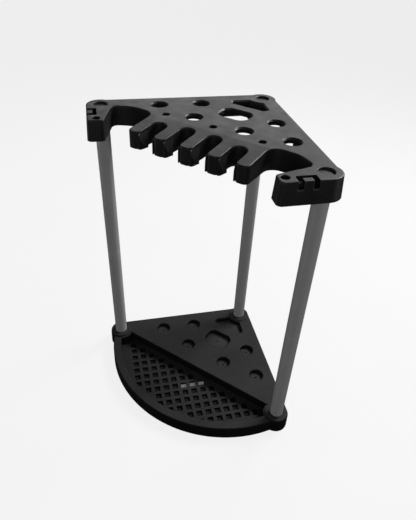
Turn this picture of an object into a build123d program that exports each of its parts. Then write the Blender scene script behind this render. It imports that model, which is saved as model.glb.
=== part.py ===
from build123d import *
from math import atan, degrees, sqrt
import os

# Corner tool rack: a rack plate and a base, held apart by three two-part tube legs.
# All plan positions below are measured from the back leg's axis: X along the open front,
# +Y towards the corner of the room, Z up from the floor. The finished solids are moved
# in Y at the end, so that the origin is the middle of the footprint.

# ---- driving dimensions, mm ----
LEG_PITCH = 360.0            # back leg to each side leg, along the walls
TUBE_R = 16.0
TUBE_WALL = 1.2
SEAM_Z = 328.0               # where the lower and upper tube of a leg meet
JOINER_LENGTH = 60.0
SLEEVE_R = 19.5              # sleeves round the tube ends, inside the bosses
SLEEVE_RIB_LENGTH = 60.0     # two ribs cross on each sleeve
SKIN = 3.0                   # wall thickness of the mouldings
LINING = 2.5                 # wall thickness of the collars round the openings
RIB = 2.0
RIB_PITCH = 85.0

PLATFORM_Z = 38.0            # top of the base's platform
RIM_Z = 36.0
BASE_BOSS_Z = 42.0
BASE_FLARE = 0.6             # outer faces lean out by this much at the floor
CORNER_R = 30.0              # round corners of the platform
COLLAR_R = 29.6              # the same corners, where they end the rim
BASE_BOSS_R = 28.5
RIM_R = 310.5                # round front of the base
RIM_CENTRE_Y = -109.0
RIM_WIDTH = 22.5
TRAY_BACK_Y = -246.6         # the platform's front wall
TRAY_END_R = 33.0            # the tray stops short of the side legs
BASE_RIB_Z = 22.0            # lower edge of the ribs below the platform
TRAY_FLOOR_Z = 7.0
LEDGE = 2.0                  # step along the foot of the platform's front wall
LEDGE_Z = 12.0
CELL_PITCH = 24.0            # waffle cells in the tray floor, square to the walls
CELL_SIZE = 15.5
CELL_DEPTH = 5.0
CELL_FIRST_Y = -263.0
CELL_ROWS = 8
CELL_REACH = 276.0           # no cell centre further than this from the rim's centre
DRAIN_CELLS = [(34, -263), (17, -280), (0, -297)]

RACK_Z = 712.0               # top of the rack plate
RACK_H = 43.0                # height of its skirt
RACK_FLARE = 3.2             # outer faces lean out by this much at the bottom
RACK_RIB_Z = 694.0           # lower edge of the ribs below the plate
RACK_BOSS_R = 29.5           # round corners, on the leg axes
WALL_OFFSET = 26.0           # leg axes to the long straight sides
DECK = 3.5                   # plate thickness
TOP_ROUNDING = 2.5
CREASE_Y = -232.0            # in front of this line the prongs slope down
PRONG_SLOPE = 5.6            # degrees
PRONG_TIP_Y = -311.0
PRONG_PITCH = 60.5
PRONG_WIDTH = 27.0
SLOT_BACK_Y = [-242.0, -252.0]            # inner and outer slots
NUB = 7.0                    # barbs that narrow the mouth of each slot
NUB_BACK_Y = -281.5
DISH_R = 15.0
DISH_DEPTH = 4.5
SOCKET_ROOF_Z = 700.0        # the upper tubes end here

TOOL_R = 17.0                # handle holes, and the sockets below them
TOOL_LEAD = 3.0              # chamfer round each of them
TOOL_DEPTH = 11.0            # length of a collar, and depth of a socket
TOOL_HOLES = [(156.6, -178.2), (91.1, -114.5), (59.0, -190.4)]
SMALL_R = 8.2
SMALL_LEAD = 0.6
SMALL_HOLES = [(0.0, -210.6), (111.6, -215.0), (207.0, -318.0)]
DRAIN_R = 2.5

SOCKET_FLOOR_Z = 6.0         # the lower tubes stand here

# The arms run from the side legs past the open bays. Distances along an arm are from
# its leg, distances across it from its outer face.
ARM_LENGTH = 91.5
POCKET = (23.5, 61.5)        # along the arm
POCKET_WIDTH = 20.0
POCKET_DEPTH = 18.0
TONGUE = (34.0, 51.0)        # stands in the pocket, flush with the outer face
TONGUE_WIDTH = 12.0
STEP_WIDTH = 9.0             # step at the back of the pocket, beside the tongue
STEP_DEPTH = 8.0

# ---- derived ----
SIDE = LEG_PITCH / sqrt(2)
LEGS = {"back": (0.0, 0.0), "left": (-SIDE, -SIDE), "right": (SIDE, -SIDE)}
PRONGS_X = 2 * PRONG_PITCH + PRONG_WIDTH / 2
SLOT_WIDTH = PRONG_PITCH - PRONG_WIDTH
RACK_BOTTOM = RACK_Z - RACK_H
SHIFT_Y = (RIM_R + BASE_FLARE - RIM_CENTRE_Y - RACK_BOSS_R - RACK_FLARE) / 2
LEFT_ARM = Location((-SIDE, -SIDE, 0), (0, 0, -45)) * Pos(0, -RACK_BOSS_R, 0)


# ---- small helpers ----
def both_sides(shape):
    return shape + mirror(shape, about=Plane.YZ)


def rectangle_between(x0, x1, y0, y1):
    return Pos((x0 + x1) / 2, (y0 + y1) / 2) * Rectangle(x1 - x0, y1 - y0)


def prism(plan, z0, z1):
    return Pos(0, 0, z0) * extrude(plan, z1 - z0)


def flared(plan, z0, z1, flare):
    """Prism whose sides lean out by flare from its top down to its bottom."""
    angle = degrees(atan(flare / (z1 - z0)))
    return Pos(0, 0, z1) * extrude(plan, z0 - z1, taper=-angle)


def opening(plan, z0, z1, lead):
    """Cutter with straight walls, opening out at 45 degrees up to z1."""
    flare = Pos(0, 0, z1 - lead) * extrude(plan, lead + 0.5, taper=-45)
    return prism(plan, z0, z1) + flare


def leg_circles(radius):
    return Sketch() + [Pos(x, y) * Circle(radius) for x, y in LEGS.values()]


def leg_triangle(radius):
    """Straight-sided plan that wraps the three legs at the given distance."""
    return make_hull(leg_circles(radius).edges())


def rib_plan():
    """Two families of ribs, square to the walls."""
    bars = Sketch()
    for angle in (45, -45):
        for number in range(-5, 6):
            offset_y = (number + 0.5) * RIB_PITCH
            bars += Pos(0, -SIDE) * Rot(0, 0, angle) * Pos(0, offset_y) * Rectangle(900, RIB)
    return bars


def sleeve_plan():
    """Sleeves round the tube ends, with two ribs crossing on each."""
    cross = Rectangle(SLEEVE_RIB_LENGTH, RIB) + Rectangle(RIB, SLEEVE_RIB_LENGTH)
    crosses = [Pos(x, y) * Rot(0, 0, 45) * cross for x, y in LEGS.values()]
    return leg_circles(SLEEVE_R) + crosses


# ---- tool openings, the same plan in the rack and the base ----
def tool_plans():
    """Six round openings, an oval one, and a five-sided one behind it."""
    rounds = [Pos(side * x, y) * Circle(TOOL_R) for x, y in TOOL_HOLES for side in (-1, 1)]
    return rounds + [oval_plan(), corner_plan()]


def oval_plan():
    plan = rectangle_between(-33.5, 33.5, -148.5, -99.5)
    plan = chamfer(plan.vertices().group_by(Axis.Y)[-1], 10)
    plan = fillet([v for v in plan.vertices() if v.Y > -120], 7)
    return fillet(plan.vertices().group_by(Axis.Y)[0], 19)


def corner_plan():
    back = ThreePointArc((17, -29), (0, -33), (-17, -29))
    sides = Polyline((-17, -29), (-43.5, -55.5), (-43.5, -62), (-37, -69.5),
                     (37, -69.5), (43.5, -62), (43.5, -55.5), (17, -29))
    plan = make_face(back + sides)
    return fillet([v for v in plan.vertices() if v.Y < -40], 4)


def small_plans():
    places = sorted({(side * x, y) for x, y in SMALL_HOLES for side in (-1, 1)})
    return [Pos(x, y) * Circle(SMALL_R) for x, y in places]


# ---- rack plate ----
def bay_plan():
    """The open bay between the outer prong and the right arm."""
    corners = [(PRONGS_X, -223), (192, -223), (230, -246), (163.5, -360), (PRONGS_X, -360)]
    plan = make_face(Polyline(*corners, close=True))
    for (x, y), radius in zip(corners, (24, 60, 14)):
        corner = plan.vertices().sort_by_distance((x, y, 0))[0]
        plan = fillet(corner, radius)
    return plan


def slot_plans():
    slots = Sketch()
    for number, back_y in enumerate(SLOT_BACK_Y):
        x = (number + 0.5) * PRONG_PITCH
        end_y = back_y - SLOT_WIDTH / 2
        slots += rectangle_between(x - SLOT_WIDTH / 2, x + SLOT_WIDTH / 2, -360, end_y)
        slots += Pos(x, end_y) * Circle(SLOT_WIDTH / 2)
    return both_sides(slots)


def skirt_plan(inset):
    """The outline that leans out: long sides, bosses and arms."""
    arm = rectangle_between(0, ARM_LENGTH - inset, inset, 64)
    arm = fillet(arm.vertices().group_by(Axis.Y)[0].sort_by(Axis.X)[-1], 7 - inset)
    plan = leg_triangle(WALL_OFFSET - inset) + leg_circles(RACK_BOSS_R - inset)
    return plan + both_sides(LEFT_ARM * arm)


def prong_plan():
    plan = rectangle_between(-PRONGS_X, PRONGS_X, PRONG_TIP_Y, -190)
    plan += rectangle_between(-150, 150, -250, -190)
    plan = plan - both_sides(bay_plan()) - slot_plans()
    return fillet([v for v in plan.vertices() if abs(v.Y - PRONG_TIP_Y) < 0.1], 10)


def round_top(block):
    top = block.faces().sort_by(lambda f: f.normal_at().Z)[-1]
    return fillet(top.outer_wire().edges(), TOP_ROUNDING)


def rack_block(inset, drop):
    """Solid under the plate's top less drop, its sides moved in by inset."""
    top = RACK_Z - drop
    gaps = both_sides(bay_plan()) + slot_plans()
    prongs = offset(prong_plan(), -inset)
    flat = flared(skirt_plan(inset), RACK_BOTTOM, top, RACK_FLARE)
    flat += prism(prongs, RACK_BOTTOM, top)
    flat -= prism(offset(gaps, inset), RACK_BOTTOM, top)
    sloped = prism(prongs, RACK_BOTTOM, top + 30)
    above = Box(1000, 1000, 200, align=(Align.CENTER, Align.CENTER, Align.MIN))
    sloped -= Pos(0, CREASE_Y, top) * Rot(PRONG_SLOPE, 0, 0) * above
    if not inset:
        tips = flat.edges().filter_by(lambda e: e.length > 30 and e.center().Y < -316)
        tips = tips.filter_by(lambda e: 178 < abs(e.center().X) < 196)
        flat = round_top(fillet(tips, 7))
        sloped = round_top(sloped)
    front = prism(rectangle_between(-150, 150, CREASE_Y - 200, CREASE_Y), 0, RACK_Z + 100)
    return (flat - front) + (sloped & front)


def slot_nubs():
    """Barbs low on both faces of every slot: a ramp from its mouth, then a step back."""
    half = PRONG_WIDTH / 2
    side = [(half - 1, RACK_Z - 12), (half, RACK_Z - 12), (half + NUB, RACK_BOTTOM),
            (half - 1, RACK_BOTTOM)]
    profile = make_face(Plane.XZ.offset(-NUB_BACK_Y) * Polyline(*side, close=True))
    wedge = extrude(profile, NUB_BACK_Y - PRONG_TIP_Y, dir=(0, -1, 0))
    plan = [(0, PRONG_TIP_Y), (half + 3, PRONG_TIP_Y), (half + NUB, NUB_BACK_Y - NUB),
            (half + 0.5, NUB_BACK_Y), (0, NUB_BACK_Y)]
    outline = make_face(Polyline(*plan, close=True))
    outline = fillet(outline.vertices().sort_by_distance((*plan[1], 0))[0], 10)
    wedge &= prism(outline, RACK_BOTTOM, RACK_Z)
    nubs = Part() + [Pos(number * PRONG_PITCH, 0, 0) * wedge for number in (-2, -1, 0, 1)]
    return both_sides(nubs)


def arm_pocket():
    """Pocket in the left arm, open upwards and outwards: its lining, then its space."""
    floor_z = RACK_Z - POCKET_DEPTH
    lining = rectangle_between(POCKET[0] - SKIN, POCKET[1] + SKIN, 0, POCKET_WIDTH + SKIN)
    space = rectangle_between(*POCKET, -1, POCKET_WIDTH)
    space = fillet(space.vertices().group_by(Axis.Y)[-1], 3)
    cut = prism(LEFT_ARM * space, floor_z, RACK_Z + 1)
    cut -= prism(LEFT_ARM * rectangle_between(*TONGUE, -5, TONGUE_WIDTH), 0, RACK_Z + 1)
    step = rectangle_between(TONGUE[1] - 1, POCKET[1], STEP_WIDTH, POCKET_WIDTH)
    cut -= prism(LEFT_ARM * step, floor_z, RACK_Z - STEP_DEPTH)
    return prism(LEFT_ARM * lining, floor_z - SKIN, RACK_Z - DECK), cut


def top_rack():
    body = rack_block(0, 0)
    inside = rack_block(SKIN, DECK)
    fittings = prism(rib_plan(), RACK_RIB_Z, RACK_Z - DECK)
    fittings += prism(sleeve_plan(), RACK_BOTTOM, RACK_Z)
    openings = Part()
    for hole in tool_plans():
        fittings += prism(offset(hole, LINING), RACK_Z - TOOL_DEPTH, RACK_Z)
        openings += opening(hole, RACK_BOTTOM - 1, RACK_Z, TOOL_LEAD)
    for hole in small_plans():
        collar_z = RACK_BOTTOM if hole.center().Y < PRONG_TIP_Y else RACK_Z - TOOL_DEPTH
        fittings += prism(offset(hole, LINING), collar_z, RACK_Z)
        openings += opening(hole, RACK_BOTTOM - 1, RACK_Z, SMALL_LEAD)
    lining, pocket = arm_pocket()
    fittings += both_sides(lining)
    rack = body - (inside - fittings)
    rack += slot_nubs()
    rack -= openings
    rack -= both_sides(pocket)
    for x, y in LEGS.values():
        rack -= prism(Pos(x, y) * Circle(TUBE_R), RACK_BOTTOM - 1, SOCKET_ROOF_Z)
        rack -= opening(Pos(x, y) * Circle(DISH_R), RACK_Z - DISH_DEPTH, RACK_Z, 1)
    return rack


# ---- base ----
def platform_plan():
    return leg_triangle(CORNER_R) & rectangle_between(-300, 300, TRAY_BACK_Y, 50)


def base_plan():
    front = Pos(0, RIM_CENTRE_Y) * Circle(RIM_R)
    front &= rectangle_between(-300, 300, -450, -SIDE - 10)
    return leg_triangle(CORNER_R) + front


def tray_plan():
    tray = Pos(0, RIM_CENTRE_Y) * Circle(RIM_R - RIM_WIDTH)
    tray &= rectangle_between(-300, 300, -450, TRAY_BACK_Y)
    return tray - leg_circles(TRAY_END_R)


def rounded_block(plan, height, rounding):
    """Block on the floor, with the edges of its top rounded."""
    block = flared(plan, 0, height, BASE_FLARE)
    top = block.faces().sort_by(Axis.Z)[-1]
    return fillet(top.edges(), rounding)


def base_block():
    """Solid platform, rim and bosses round the thin floor of the tray."""
    centre = Pos(0, RIM_CENTRE_Y, 0)
    front = prism(rectangle_between(-330, 330, -450, -SIDE - 10), 0, RIM_Z)
    outline = (centre * rounded_block(Circle(RIM_R), RIM_Z, 3)) & front
    outline += rounded_block(leg_triangle(COLLAR_R), RIM_Z, 3)
    ring = Circle(RIM_R + 10) - Circle(RIM_R - RIM_WIDTH)
    rim = (centre * rounded_block(ring, RIM_Z, 3)) & front
    for name in ("left", "right"):
        rim += Pos(*LEGS[name], 0) * rounded_block(Circle(TRAY_END_R), RIM_Z, 2)
    rim += prism(offset(tray_plan(), SKIN), 0, TRAY_FLOOR_Z)
    block = rounded_block(platform_plan(), PLATFORM_Z, 2.5) + (rim & outline)
    for x, y in LEGS.values():
        block += Pos(x, y, 0) * rounded_block(Circle(BASE_BOSS_R), BASE_BOSS_Z, 2)
    ledge = rectangle_between(-SIDE, SIDE, TRAY_BACK_Y - LEDGE, TRAY_BACK_Y + 1)
    return block + prism(ledge, 0, LEDGE_Z)


def waffle_cells():
    cells = Part()
    cell = Rot(0, 0, 45) * Rectangle(CELL_SIZE, CELL_SIZE)
    step = CELL_PITCH / sqrt(2)
    for row in range(CELL_ROWS):
        y = CELL_FIRST_Y - row * step
        for column in range(-8, 9):
            x = (2 * column + row % 2) * step
            if x**2 + (y - RIM_CENTRE_Y)**2 < CELL_REACH**2 and abs(x) < 215:
                cells += prism(Pos(x, y) * cell, TRAY_FLOOR_Z - CELL_DEPTH, TRAY_FLOOR_Z + 1)
    for x, y in DRAIN_CELLS:
        cells += prism(Pos(x, y) * cell, -1, TRAY_FLOOR_Z)
    return cells


def base_tray():
    body = base_block()
    hollow = offset(base_plan(), -SKIN) - offset(tray_plan(), SKIN)
    inside = prism(hollow, 0, RIM_Z - SKIN)
    inside += prism(hollow & platform_plan(), 0, PLATFORM_Z - SKIN)
    fittings = prism(rib_plan(), BASE_RIB_Z, PLATFORM_Z)
    fittings += prism(sleeve_plan(), 0, PLATFORM_Z)
    sockets = Part()
    for hole in tool_plans():
        fittings += prism(offset(hole, LINING), PLATFORM_Z - TOOL_DEPTH - LINING, PLATFORM_Z)
        sockets += opening(hole, PLATFORM_Z - TOOL_DEPTH, PLATFORM_Z, TOOL_LEAD)
        centre = hole.center()
        sockets += prism(Pos(centre.X, centre.Y) * Circle(DRAIN_R), 0, PLATFORM_Z)
    base = body - (inside - fittings)
    base -= sockets
    base -= waffle_cells()
    base -= prism(leg_circles(TUBE_R), SOCKET_FLOOR_Z, BASE_BOSS_Z + 1)
    return base


# ---- legs ----
def tube(z0, z1):
    body = prism(Circle(TUBE_R) - Circle(TUBE_R - TUBE_WALL), z0, z1)
    rims = body.edges().filter_by(GeomType.CIRCLE).filter_by(lambda e: e.radius > TUBE_R - 0.1)
    return chamfer(rims, 0.4)


def tube_joiner():
    radius = TUBE_R - TUBE_WALL
    body = prism(Circle(radius) - Circle(radius - 2.5), SEAM_Z - JOINER_LENGTH / 2,
                 SEAM_Z + JOINER_LENGTH / 2)
    rims = body.edges().filter_by(GeomType.CIRCLE).filter_by(lambda e: e.radius > radius - 0.1)
    return chamfer(rims, 1)


def main():
    parts = {"top_rack": top_rack(), "base_tray": base_tray()}
    for name, (x, y) in LEGS.items():
        parts["lower_tube_" + name] = Pos(x, y, 0) * tube(SOCKET_FLOOR_Z, SEAM_Z)
        parts["upper_tube_" + name] = Pos(x, y, 0) * tube(SEAM_Z, SOCKET_ROOF_Z)
        parts["tube_joiner_" + name] = Pos(x, y, 0) * tube_joiner()
    os.makedirs("parts", exist_ok=True)
    for name, part in parts.items():
        export_step(Pos(0, SHIFT_Y, 0) * part, f"parts/{name}.step")


main()
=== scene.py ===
from math import cos, pi, radians, sin

import bpy
from mathutils import Matrix, Vector


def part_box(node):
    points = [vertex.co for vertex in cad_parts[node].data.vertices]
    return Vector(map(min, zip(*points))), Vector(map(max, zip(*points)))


# A corner tool rack: two black mouldings held apart by three grey tube legs.
# Metres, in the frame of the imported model.

# ---- camera ----
CAMERA_PLACE = (0.4673, -0.7966, 1.0760)
CAMERA_AZIMUTH = radians(30.69)
CAMERA_ELEVATION = radians(37.33)
CAMERA_ROLL = radians(3.02)
SENSOR = 36.0                # mm
LENS = 33.28615              # mm

# ---- the base ----
RIM_CENTRE_Y = 0.0847
RIM_RADIUS = 0.3105
WALL_SUM = 0.2361            # |x| + y along the two straight sides
TRAY_BACK_Y = -0.0525
CELL_FLOOR_Z = 0.002
SOCKET_FLOOR_Z = 0.027
PLATFORM_Z = 0.038

# ---- wear, dust, painted edge highlight and painted shade ----
EDGE_WEAR_AND_HIGHLIGHT_RADIUS = 0.0016
DUST_REACH = 0.0015          # above and below a socket's floor
LEVEL_SLACK = 0.0005         # what lies this far below the platform counts as its side, which is painted in shade
SEAM_RUB = (0.001, 0.024)    # full wear, and none, at these distances from a seam

# ---- floor ----
FLOOR_GLOW = 0.845
TRAY_GLOW = 0.10             # dim painted glow for the shaded floor seen through the tray's open cells
GLOW_INSET = 0.006           # the painted shadow under the base stops short of the rim
GLOW_WALL_INSET = 0.010      # and of the straight sides
GLOW_BLEND = 0.0075          # half the width over which the tray's glow fades
FLOOR_RADIUS = 4.0
FLOOR_BEND = 1.5             # radius of the sweep from floor to wall
FLOOR_BEND_STEPS = 8
FLOOR_WALL_TOP = 5.0
FLOOR_STEPS = 96

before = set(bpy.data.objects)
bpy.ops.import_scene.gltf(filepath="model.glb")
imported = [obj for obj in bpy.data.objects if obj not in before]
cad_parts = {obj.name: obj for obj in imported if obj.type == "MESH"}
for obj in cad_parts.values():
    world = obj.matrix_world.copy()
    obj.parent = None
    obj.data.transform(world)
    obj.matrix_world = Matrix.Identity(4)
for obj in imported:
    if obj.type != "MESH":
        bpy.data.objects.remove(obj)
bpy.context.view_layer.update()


# ---- node helpers ----
class Shader:
    """A material's node tree, with short ways to add to it."""

    def __init__(self, name):
        self.material = bpy.data.materials.new(name)
        self.material.use_nodes = True
        self.tree = self.material.node_tree
        self.tree.nodes.clear()
        self.surface = self.tree.nodes.new("ShaderNodeBsdfPrincipled")
        output = self.tree.nodes.new("ShaderNodeOutputMaterial")
        self.tree.links.new(self.surface.outputs[0], output.inputs["Surface"])
        self.place = self.tree.nodes.new("ShaderNodeTexCoord").outputs["Object"]

    def put(self, socket, value):
        """Gives a socket a plain value, or links another node's output to it."""
        if isinstance(value, bpy.types.NodeSocket):
            self.tree.links.new(value, socket)
        else:
            socket.default_value = value

    def stretched(self, scale, turn=(0.0, 0.0, 0.0)):
        node = self.tree.nodes.new("ShaderNodeMapping")
        self.put(node.inputs["Vector"], self.place)
        self.put(node.inputs["Rotation"], turn)
        self.put(node.inputs["Scale"], scale)
        return node.outputs[0]

    def noise(self, scale, detail=2.0, roughness=0.5, place=None):
        node = self.tree.nodes.new("ShaderNodeTexNoise")
        self.put(node.inputs["Vector"], place or self.place)
        self.put(node.inputs["Scale"], scale)
        self.put(node.inputs["Detail"], detail)
        self.put(node.inputs["Roughness"], roughness)
        return node.outputs[0]

    def pits(self, scale, place=None):
        """Distance to the nearest of many scattered points."""
        node = self.tree.nodes.new("ShaderNodeTexVoronoi")
        self.put(node.inputs["Vector"], place or self.place)
        self.put(node.inputs["Scale"], scale)
        return node.outputs["Distance"]

    def remap(self, value, low, high, to_low=0.0, to_high=1.0):
        node = self.tree.nodes.new("ShaderNodeMapRange")
        self.put(node.inputs["Value"], value)
        self.put(node.inputs["From Min"], low)
        self.put(node.inputs["From Max"], high)
        self.put(node.inputs["To Min"], to_low)
        self.put(node.inputs["To Max"], to_high)
        return node.outputs[0]

    def math(self, operation, a, b=0.0):
        node = self.tree.nodes.new("ShaderNodeMath")
        node.operation = operation
        self.put(node.inputs[0], a)
        self.put(node.inputs[1], b)
        return node.outputs[0]

    def mix(self, amount, a, b):
        """Blend of two colours."""
        node = self.tree.nodes.new("ShaderNodeMix")
        node.data_type = "RGBA"
        self.put(node.inputs[0], amount)
        self.put(node.inputs[6], a)
        self.put(node.inputs[7], b)
        return node.outputs[2]

    def axis(self, vector, number):
        node = self.tree.nodes.new("ShaderNodeSeparateXYZ")
        self.put(node.inputs[0], vector)
        return node.outputs[number]

    def facing_up(self):
        """1 on faces that look straight up, 0 on upright and lower ones."""
        normal = self.tree.nodes.new("ShaderNodeNewGeometry").outputs["Normal"]
        return self.remap(self.axis(normal, 2), 0.25, 0.95)

    def worn_and_highlit_edges(self, radius):
        """1 along sharp edges, falling to 0 within the given radius, and a rounded normal."""
        rounded = self.tree.nodes.new("ShaderNodeBevel")
        rounded.samples = 6
        self.put(rounded.inputs["Radius"], radius)
        normal = self.tree.nodes.new("ShaderNodeNewGeometry").outputs["Normal"]
        dot = self.tree.nodes.new("ShaderNodeVectorMath")
        dot.operation = "DOT_PRODUCT"
        self.put(dot.inputs[0], rounded.outputs[0])
        self.put(dot.inputs[1], normal)
        return self.remap(dot.outputs["Value"], 0.995, 0.90), rounded.outputs[0]

    def bump(self, height, distance, strength=1.0, normal=None):
        node = self.tree.nodes.new("ShaderNodeBump")
        self.put(node.inputs["Height"], height)
        self.put(node.inputs["Distance"], distance)
        self.put(node.inputs["Strength"], strength)
        if normal:
            self.put(node.inputs["Normal"], normal)
        return node.outputs[0]

    def finish(self, colour, roughness, normal, specular):
        self.put(self.surface.inputs["Base Color"], colour)
        self.put(self.surface.inputs["Roughness"], roughness)
        self.put(self.surface.inputs["Normal"], normal)
        self.put(self.surface.inputs["Specular IOR Level"], specular)
        return self.material


def grey(value, warmth=0.0):
    return (value * (1 + warmth), value, value * (1 - warmth), 1.0)


# ---- materials ----
def hollow_shade_and_dust(s, colour, settled):
    """Painted shade on the floors of the tray's cells and on the sides below the platform; dusty
    floors in the sockets.
    """
    height = s.axis(s.place, 2)
    # painted shade: the cell floors are darkened as if shadowed by the cell walls
    near_floor = s.remap(height, CELL_FLOOR_Z + 0.001, CELL_FLOOR_Z + 0.003, 1.0, 0.0)
    low = s.math("MULTIPLY", s.facing_up(), near_floor)
    above = s.math("ABSOLUTE", s.math("SUBTRACT", height, SOCKET_FLOOR_Z))
    dusty = s.math("MULTIPLY", s.facing_up(), s.math("LESS_THAN", above, DUST_REACH))
    dusty = s.math("MULTIPLY", dusty, s.remap(settled, 0.0, 0.5, 0.6, 1.0))
    colour = s.mix(s.math("MULTIPLY", dusty, 0.8), colour, grey(0.032))
    # painted shade: upright faces below the platform are darkened as if out of the light
    sides = s.math("MULTIPLY", s.remap(s.facing_up(), 0.7, 0.95, 1.0, 0.0),
                   s.math("LESS_THAN", height, PLATFORM_Z - LEVEL_SLACK))
    # the painted shade of the cell floors and of the lower sides, mixed toward near black
    dark = s.math("MAXIMUM", s.math("MULTIPLY", low, 0.7), s.math("MULTIPLY", sides, 0.8))
    return s.mix(dark, colour, grey(0.0010))


def moulded_plastic(name, dark, light, roughness, specular, hollows=False):
    """Black plastic with a fine spark-eroded grain, scuffs, dust, and edges painted lighter as a
    highlight and as wear.
    """
    s = Shader(name)
    edge, rounded = s.worn_and_highlit_edges(EDGE_WEAR_AND_HIGHLIGHT_RADIUS)
    cloudy = s.noise(9, detail=3)
    mottle = s.noise(160, detail=4, roughness=0.6)
    colour = s.mix(s.remap(cloudy, 0.3, 0.7), grey(dark), grey(light))
    colour = s.mix(s.remap(mottle, 0.35, 0.75, 0.0, 0.35), colour, grey(light * 1.7))

    long_marks = s.noise(1.0, detail=2, place=s.stretched((14, 520, 520), (0.3, 0.2, 0.7)))
    cross_marks = s.noise(1.0, detail=2, place=s.stretched((480, 18, 480), (0.1, 0.4, 0.35)))
    marks = s.math("MAXIMUM", s.remap(long_marks, 0.66, 0.74),
                   s.remap(cross_marks, 0.68, 0.76))
    where = s.remap(s.noise(7, detail=2), 0.46, 0.62)
    scuffs = s.math("MULTIPLY", marks, where)
    colour = s.mix(s.math("MULTIPLY", scuffs, 0.25), colour, grey(0.045))

    specks = s.remap(s.noise(620, detail=5, roughness=0.75), 0.56, 0.72)
    film = s.remap(s.noise(21, detail=5, roughness=0.65), 0.4, 0.75, 0.15, 0.6)
    settled = s.math("MULTIPLY", s.facing_up(), s.math("MULTIPLY", specks, film))
    colour = s.mix(s.math("MULTIPLY", settled, 0.14), colour, grey(0.12, 0.05))
    # painted highlight: edges are lightened to stand in for glints along the rims, partly also
    # wear
    edge_wear_and_highlight = s.math("MULTIPLY", edge, s.remap(s.noise(70, detail=3), 0.35, 0.65, 0.2, 1.0))
    colour = s.mix(s.math("MULTIPLY", edge_wear_and_highlight, 0.7), colour, grey(0.075))

    # painted shade in the base's hollows and on its lower sides, and dust in its sockets
    if hollows:
        colour = hollow_shade_and_dust(s, colour, settled)
    dull = s.remap(s.noise(34, detail=4), 0.3, 0.7, roughness - 0.06, roughness + 0.07)
    dull = s.math("ADD", dull, s.math("MULTIPLY", scuffs, 0.12))
    dull = s.math("ADD", dull, s.math("MULTIPLY", settled, 0.25))
    dull = s.math("SUBTRACT", dull, s.math("MULTIPLY", edge_wear_and_highlight, 0.10))

    normal = s.bump(s.noise(11, detail=1), 0.0016, 0.35, rounded)
    normal = s.bump(s.pits(1250), 0.00016, 0.5, normal)
    normal = s.bump(s.noise(2400, detail=3, roughness=0.7), 0.00010, 0.5, normal)
    normal = s.bump(scuffs, 0.00008, 0.6, normal)
    return s.finish(colour, dull, normal, specular)


def painted_steel(name):
    """Grey satin powder coat over drawn tube: faint draw lines, orange peel, small rubs."""
    s = Shader(name)
    draw = s.noise(1.0, detail=3, roughness=0.6, place=s.stretched((420, 420, 5)))
    cloudy = s.noise(13, detail=3)
    flakes = s.noise(1900, detail=3, roughness=0.8)
    colour = s.mix(s.remap(cloudy, 0.3, 0.7), grey(0.265), grey(0.295))
    colour = s.mix(s.remap(draw, 0.35, 0.7, 0.0, 0.45), colour, grey(0.235))
    colour = s.mix(s.remap(flakes, 0.55, 0.75, 0.0, 0.5), colour, grey(0.42))

    height = s.axis(s.place, 2)
    seam_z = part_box("upper_tube_back")[0].z
    from_seam = s.math("ABSOLUTE", s.math("SUBTRACT", height, seam_z))
    near_seam = s.remap(from_seam, *SEAM_RUB, 1.0, 0.0)
    rings = s.noise(1.0, detail=3, roughness=0.7, place=s.stretched((30, 30, 900)))
    rubs = s.math("MULTIPLY", near_seam, s.remap(rings, 0.5, 0.72))
    streaks = s.noise(1.0, detail=2, place=s.stretched((300, 300, 24), (0.12, 0.1, 0)))
    marks = s.remap(streaks, 0.69, 0.76)
    marks = s.math("MULTIPLY", marks, s.remap(s.noise(6, detail=2), 0.45, 0.6))
    rubs = s.math("MAXIMUM", rubs, s.math("MULTIPLY", marks, 0.7))
    colour = s.mix(s.math("MULTIPLY", rubs, 0.4), colour, grey(0.50))

    dull = s.remap(s.noise(40, detail=4), 0.3, 0.7, 0.40, 0.50)
    dull = s.math("SUBTRACT", dull, s.math("MULTIPLY", rubs, 0.08))
    normal = s.bump(s.noise(520, detail=2), 0.00012, 0.35)
    normal = s.bump(draw, 0.00006, 0.4, normal)
    normal = s.bump(flakes, 0.00004, 0.4, normal)
    return s.finish(colour, dull, normal, 0.45)


materials = {
    "rack_plastic": moulded_plastic("rack_plastic", 0.0050, 0.0085, 0.44, 0.20),
    "base_plastic": moulded_plastic("base_plastic", 0.0140, 0.0205, 0.56, 0.05, hollows=True),
    "joiner_plastic": moulded_plastic("joiner_plastic", 0.006, 0.010, 0.50, 0.20),
    "tube_grey": painted_steel("tube_grey"),
}
SLOTS = {"top_rack": "rack_plastic", "base_tray": "base_plastic"}
for name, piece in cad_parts.items():
    slot = SLOTS.get(name, "joiner_plastic" if "joiner" in name else "tube_grey")
    piece.data.materials.clear()
    piece.data.materials.append(materials[slot])


# ---- floor ----
def backdrop():
    """Round floor that sweeps up into a wall all round."""
    steps = FLOOR_STEPS
    profile = [(FLOOR_RADIUS, 0.0)]
    for i in range(1, FLOOR_BEND_STEPS + 1):
        turn = i / FLOOR_BEND_STEPS * pi / 2
        profile.append((FLOOR_RADIUS + FLOOR_BEND * sin(turn), FLOOR_BEND * (1 - cos(turn))))
    profile.append((FLOOR_RADIUS + FLOOR_BEND, FLOOR_WALL_TOP))
    points = [(0.0, 0.0, 0.0)]
    for radius, z in profile:
        for i in range(steps):
            angle = 2 * pi * i / steps
            points.append((radius * cos(angle), radius * sin(angle), z))
    faces = [(0, 1 + i, 1 + (i + 1) % steps) for i in range(steps)]
    for ring in range(len(profile) - 1):
        first = 1 + ring * steps
        for i in range(steps):
            after = (i + 1) % steps
            faces.append((first + i, first + after, first + steps + after, first + steps + i))
    mesh = bpy.data.meshes.new("backdrop")
    mesh.from_pydata(points, [], faces)
    obj = bpy.data.objects.new("backdrop", mesh)
    bpy.context.scene.collection.objects.link(obj)
    return obj


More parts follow.
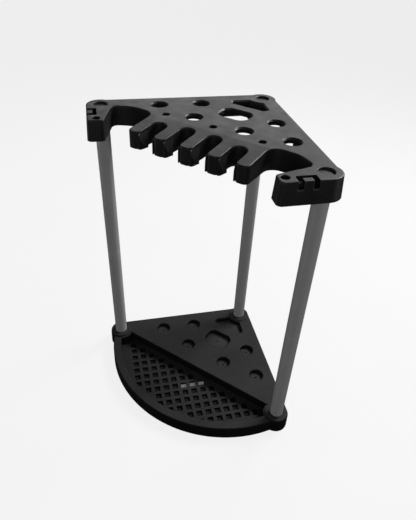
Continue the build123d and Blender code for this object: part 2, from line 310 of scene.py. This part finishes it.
def backdrop_paint():
    """Paint that glows nearly white by itself; under the base the glow is cut away as a painted
    shadow, with a dim glow under the tray.
    """
    s = Shader("backdrop_paint")
    tone = s.mix(s.remap(s.noise(3, detail=4), 0.3, 0.7), grey(0.058), grey(0.064))
    s.put(s.surface.inputs["Emission Color"], grey(1.0))
    across = s.math("ABSOLUTE", s.axis(s.place, 0))
    along = s.axis(s.place, 1)
    from_centre = s.math("ABSOLUTE", s.math("SUBTRACT", along, RIM_CENTRE_Y))
    squares = s.math("ADD", s.math("POWER", across, 2.0), s.math("POWER", from_centre, 2.0))
    past_rim = s.math("GREATER_THAN", s.math("SQRT", squares), RIM_RADIUS - GLOW_INSET)
    past_walls = s.math("GREATER_THAN", s.math("ADD", across, along), WALL_SUM - GLOW_WALL_INSET)
    # painted shadow: no glow inside the base's outline, where the floor would lie in shade
    outside = s.math("MAXIMUM", past_rim, past_walls)
    # painted shade: only a dim glow under the tray, for the floor seen through its cells
    under_tray = s.remap(along, TRAY_BACK_Y + GLOW_BLEND, TRAY_BACK_Y - GLOW_BLEND, 0.0, TRAY_GLOW)
    glow = s.math("MAXIMUM", s.math("MULTIPLY", outside, FLOOR_GLOW), under_tray)
    s.put(s.surface.inputs["Emission Strength"], glow)
    return s.finish(tone, 0.9, s.bump(s.noise(300), 0.0003, 0.2), 0.1)


floor = backdrop()
floor.data.materials.append(backdrop_paint())
floor.visible_diffuse = False
floor.visible_glossy = False
floor.visible_shadow = False


# ---- light ----
def soft_light(name, place, target, width, height, power):
    data = bpy.data.lights.new(name, "AREA")
    data.shape = "RECTANGLE"
    data.size = width
    data.size_y = height
    data.energy = power
    obj = bpy.data.objects.new(name, data)
    obj.location = place
    aim = Vector(target) - Vector(place)
    obj.rotation_euler = aim.to_track_quat("-Z", "Y").to_euler()
    bpy.context.scene.collection.objects.link(obj)


soft_light("key", (0.60, 1.55, 1.85), (0, 0, 0.40), 0.9, 0.8, 70)
soft_light("sheen", (-0.90, 1.45, 1.55), (0, 0, 0.50), 1.5, 1.0, 11)
soft_light("right", (1.9, 0.5, 0.8), (0, 0, 0.35), 0.7, 1.5, 9)
soft_light("left", (-1.8, -0.9, 0.8), (0, 0, 0.35), 0.6, 1.5, 8)
soft_light("front", (0.9, -2.2, 1.2), (0, 0, 0.30), 1.2, 1.2, 15)

world = bpy.data.worlds.new("studio")
world.use_nodes = True
world.node_tree.nodes["Background"].inputs["Color"].default_value = grey(0.06)
bpy.context.scene.world = world
bpy.context.scene.view_settings.view_transform = "Standard"


# ---- camera ----
def photograph_camera():
    back = Vector((sin(CAMERA_AZIMUTH) * cos(CAMERA_ELEVATION),
                   -cos(CAMERA_AZIMUTH) * cos(CAMERA_ELEVATION),
                   sin(CAMERA_ELEVATION)))
    level = Vector((cos(CAMERA_AZIMUTH), sin(CAMERA_AZIMUTH), 0))
    upright = back.cross(level)
    right = cos(CAMERA_ROLL) * level + sin(CAMERA_ROLL) * upright
    up = -sin(CAMERA_ROLL) * level + cos(CAMERA_ROLL) * upright
    data = bpy.data.cameras.new("camera")
    data.sensor_width = SENSOR
    data.lens = LENS
    obj = bpy.data.objects.new("camera", data)
    turn = Matrix((right, up, back)).transposed().to_4x4()
    obj.matrix_world = Matrix.Translation(CAMERA_PLACE) @ turn
    bpy.context.scene.collection.objects.link(obj)
    bpy.context.scene.camera = obj


photograph_camera()
